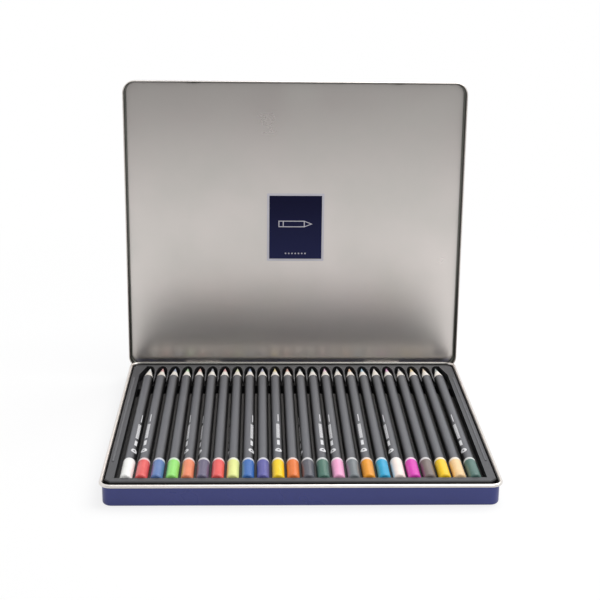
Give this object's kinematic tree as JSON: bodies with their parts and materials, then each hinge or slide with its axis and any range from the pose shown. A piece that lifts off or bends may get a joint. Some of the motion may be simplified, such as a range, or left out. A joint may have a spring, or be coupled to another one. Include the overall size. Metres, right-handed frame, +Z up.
{
  "type": "colored pencil tin",
  "caption": "Shallow hinged tinplate tin, shown open, with a lift-out formed tray of round colored pencils with dipped ends.",
  "frame": {"origin": "centre of the base's underside", "axes": "+X along the width, left to right seen from the front; +Y from the front to the hinges; +Z up"},
  "size_m": [0.2256, 0.2069, 0.2051],
  "materials": {
    "navy_paint": "satin enamel on tinplate",
    "tinplate": "satin bare tinplate inside, navy enamel outside",
    "tray_plastic": "satin black, vacuum formed",
    "pin_steel": "drawn wire",
    "black_lacquer": "black lacquer with a dipped coloured end and a white ring",
    "core_01": "white wax and pigment core",
    "core_02": "coral red wax and pigment core",
    "core_03": "mid blue wax and pigment core",
    "core_04": "light green wax and pigment core",
    "core_05": "salmon orange wax and pigment core",
    "core_06": "purple grey wax and pigment core",
    "core_07": "red wax and pigment core",
    "core_08": "pale yellow wax and pigment core",
    "core_09": "blue wax and pigment core",
    "core_10": "violet wax and pigment core",
    "core_11": "yellow wax and pigment core",
    "core_12": "orange wax and pigment core",
    "core_13": "dark slate wax and pigment core",
    "core_14": "dark green wax and pigment core",
    "core_15": "pink wax and pigment core",
    "core_16": "grey wax and pigment core",
    "core_17": "light orange wax and pigment core",
    "core_18": "sky blue wax and pigment core",
    "core_19": "cream wax and pigment core",
    "core_20": "magenta wax and pigment core",
    "core_21": "brown wax and pigment core",
    "core_22": "lemon yellow wax and pigment core",
    "core_23": "peach wax and pigment core",
    "core_24": "dark olive green wax and pigment core"
  },
  "bodies": {
    "base": {"base_shell": "navy_paint", "left_hinge_base_leaf": "navy_paint", "left_hinge_pin": "pin_steel", "right_hinge_base_leaf": "navy_paint", "right_hinge_pin": "pin_steel"},
    "lid": {"lid_shell": "tinplate", "left_hinge_lid_leaf": "navy_paint", "right_hinge_lid_leaf": "navy_paint"},
    "tray": {"tray": "tray_plastic"},
    "pencil_01": {"pencil_01_casing": "black_lacquer", "pencil_01_core": "core_01"},
    "pencil_02": {"pencil_02_casing": "black_lacquer", "pencil_02_core": "core_02"},
    "pencil_03": {"pencil_03_casing": "black_lacquer", "pencil_03_core": "core_03"},
    "pencil_04": {"pencil_04_casing": "black_lacquer", "pencil_04_core": "core_04"},
    "pencil_05": {"pencil_05_casing": "black_lacquer", "pencil_05_core": "core_05"},
    "pencil_06": {"pencil_06_casing": "black_lacquer", "pencil_06_core": "core_06"},
    "pencil_07": {"pencil_07_casing": "black_lacquer", "pencil_07_core": "core_07"},
    "pencil_08": {"pencil_08_casing": "black_lacquer", "pencil_08_core": "core_08"},
    "pencil_09": {"pencil_09_casing": "black_lacquer", "pencil_09_core": "core_09"},
    "pencil_10": {"pencil_10_casing": "black_lacquer", "pencil_10_core": "core_10"},
    "pencil_11": {"pencil_11_casing": "black_lacquer", "pencil_11_core": "core_11"},
    "pencil_12": {"pencil_12_casing": "black_lacquer", "pencil_12_core": "core_12"},
    "pencil_13": {"pencil_13_casing": "black_lacquer", "pencil_13_core": "core_13"},
    "pencil_14": {"pencil_14_casing": "black_lacquer", "pencil_14_core": "core_14"},
    "pencil_15": {"pencil_15_casing": "black_lacquer", "pencil_15_core": "core_15"},
    "pencil_16": {"pencil_16_casing": "black_lacquer", "pencil_16_core": "core_16"},
    "pencil_17": {"pencil_17_casing": "black_lacquer", "pencil_17_core": "core_17"},
    "pencil_18": {"pencil_18_casing": "black_lacquer", "pencil_18_core": "core_18"},
    "pencil_19": {"pencil_19_casing": "black_lacquer", "pencil_19_core": "core_19"},
    "pencil_20": {"pencil_20_casing": "black_lacquer", "pencil_20_core": "core_20"},
    "pencil_21": {"pencil_21_casing": "black_lacquer", "pencil_21_core": "core_21"},
    "pencil_22": {"pencil_22_casing": "black_lacquer", "pencil_22_core": "core_22"},
    "pencil_23": {"pencil_23_casing": "black_lacquer", "pencil_23_core": "core_23"},
    "pencil_24": {"pencil_24_casing": "black_lacquer", "pencil_24_core": "core_24"}
  },
  "joints": [
    {"name": "lid_hinge", "type": "hinge", "parent": "base", "child": "lid", "pos_m": [0, 0.0977, 0.0092], "axis": [-1, 0, 0], "range_deg": [-92, 0]},
    {"name": "tray_lift", "type": "slide", "parent": "base", "child": "tray", "axis": [0, 0, 1], "range_m": [0, 0.03]},
    {"name": "pencil_01_lift", "type": "slide", "parent": "tray", "child": "pencil_01", "axis": [0, 0, 1], "range_m": [0, 0.04]},
    {"name": "pencil_02_lift", "type": "slide", "parent": "tray", "child": "pencil_02", "axis": [0, 0, 1], "range_m": [0, 0.04]},
    {"name": "pencil_03_lift", "type": "slide", "parent": "tray", "child": "pencil_03", "axis": [0, 0, 1], "range_m": [0, 0.04]},
    {"name": "pencil_04_lift", "type": "slide", "parent": "tray", "child": "pencil_04", "axis": [0, 0, 1], "range_m": [0, 0.04]},
    {"name": "pencil_05_lift", "type": "slide", "parent": "tray", "child": "pencil_05", "axis": [0, 0, 1], "range_m": [0, 0.04]},
    {"name": "pencil_06_lift", "type": "slide", "parent": "tray", "child": "pencil_06", "axis": [0, 0, 1], "range_m": [0, 0.04]},
    {"name": "pencil_07_lift", "type": "slide", "parent": "tray", "child": "pencil_07", "axis": [0, 0, 1], "range_m": [0, 0.04]},
    {"name": "pencil_08_lift", "type": "slide", "parent": "tray", "child": "pencil_08", "axis": [0, 0, 1], "range_m": [0, 0.04]},
    {"name": "pencil_09_lift", "type": "slide", "parent": "tray", "child": "pencil_09", "axis": [0, 0, 1], "range_m": [0, 0.04]},
    {"name": "pencil_10_lift", "type": "slide", "parent": "tray", "child": "pencil_10", "axis": [0, 0, 1], "range_m": [0, 0.04]},
    {"name": "pencil_11_lift", "type": "slide", "parent": "tray", "child": "pencil_11", "axis": [0, 0, 1], "range_m": [0, 0.04]},
    {"name": "pencil_12_lift", "type": "slide", "parent": "tray", "child": "pencil_12", "axis": [0, 0, 1], "range_m": [0, 0.04]},
    {"name": "pencil_13_lift", "type": "slide", "parent": "tray", "child": "pencil_13", "axis": [0, 0, 1], "range_m": [0, 0.04]},
    {"name": "pencil_14_lift", "type": "slide", "parent": "tray", "child": "pencil_14", "axis": [0, 0, 1], "range_m": [0, 0.04]},
    {"name": "pencil_15_lift", "type": "slide", "parent": "tray", "child": "pencil_15", "axis": [0, 0, 1], "range_m": [0, 0.04]},
    {"name": "pencil_16_lift", "type": "slide", "parent": "tray", "child": "pencil_16", "axis": [0, 0, 1], "range_m": [0, 0.04]},
    {"name": "pencil_17_lift", "type": "slide", "parent": "tray", "child": "pencil_17", "axis": [0, 0, 1], "range_m": [0, 0.04]},
    {"name": "pencil_18_lift", "type": "slide", "parent": "tray", "child": "pencil_18", "axis": [0, 0, 1], "range_m": [0, 0.04]},
    {"name": "pencil_19_lift", "type": "slide", "parent": "tray", "child": "pencil_19", "axis": [0, 0, 1], "range_m": [0, 0.04]},
    {"name": "pencil_20_lift", "type": "slide", "parent": "tray", "child": "pencil_20", "axis": [0, 0, 1], "range_m": [0, 0.04]},
    {"name": "pencil_21_lift", "type": "slide", "parent": "tray", "child": "pencil_21", "axis": [0, 0, 1], "range_m": [0, 0.04]},
    {"name": "pencil_22_lift", "type": "slide", "parent": "tray", "child": "pencil_22", "axis": [0, 0, 1], "range_m": [0, 0.04]},
    {"name": "pencil_23_lift", "type": "slide", "parent": "tray", "child": "pencil_23", "axis": [0, 0, 1], "range_m": [0, 0.04]},
    {"name": "pencil_24_lift", "type": "slide", "parent": "tray", "child": "pencil_24", "axis": [0, 0, 1], "range_m": [0, 0.04]}
  ]
}
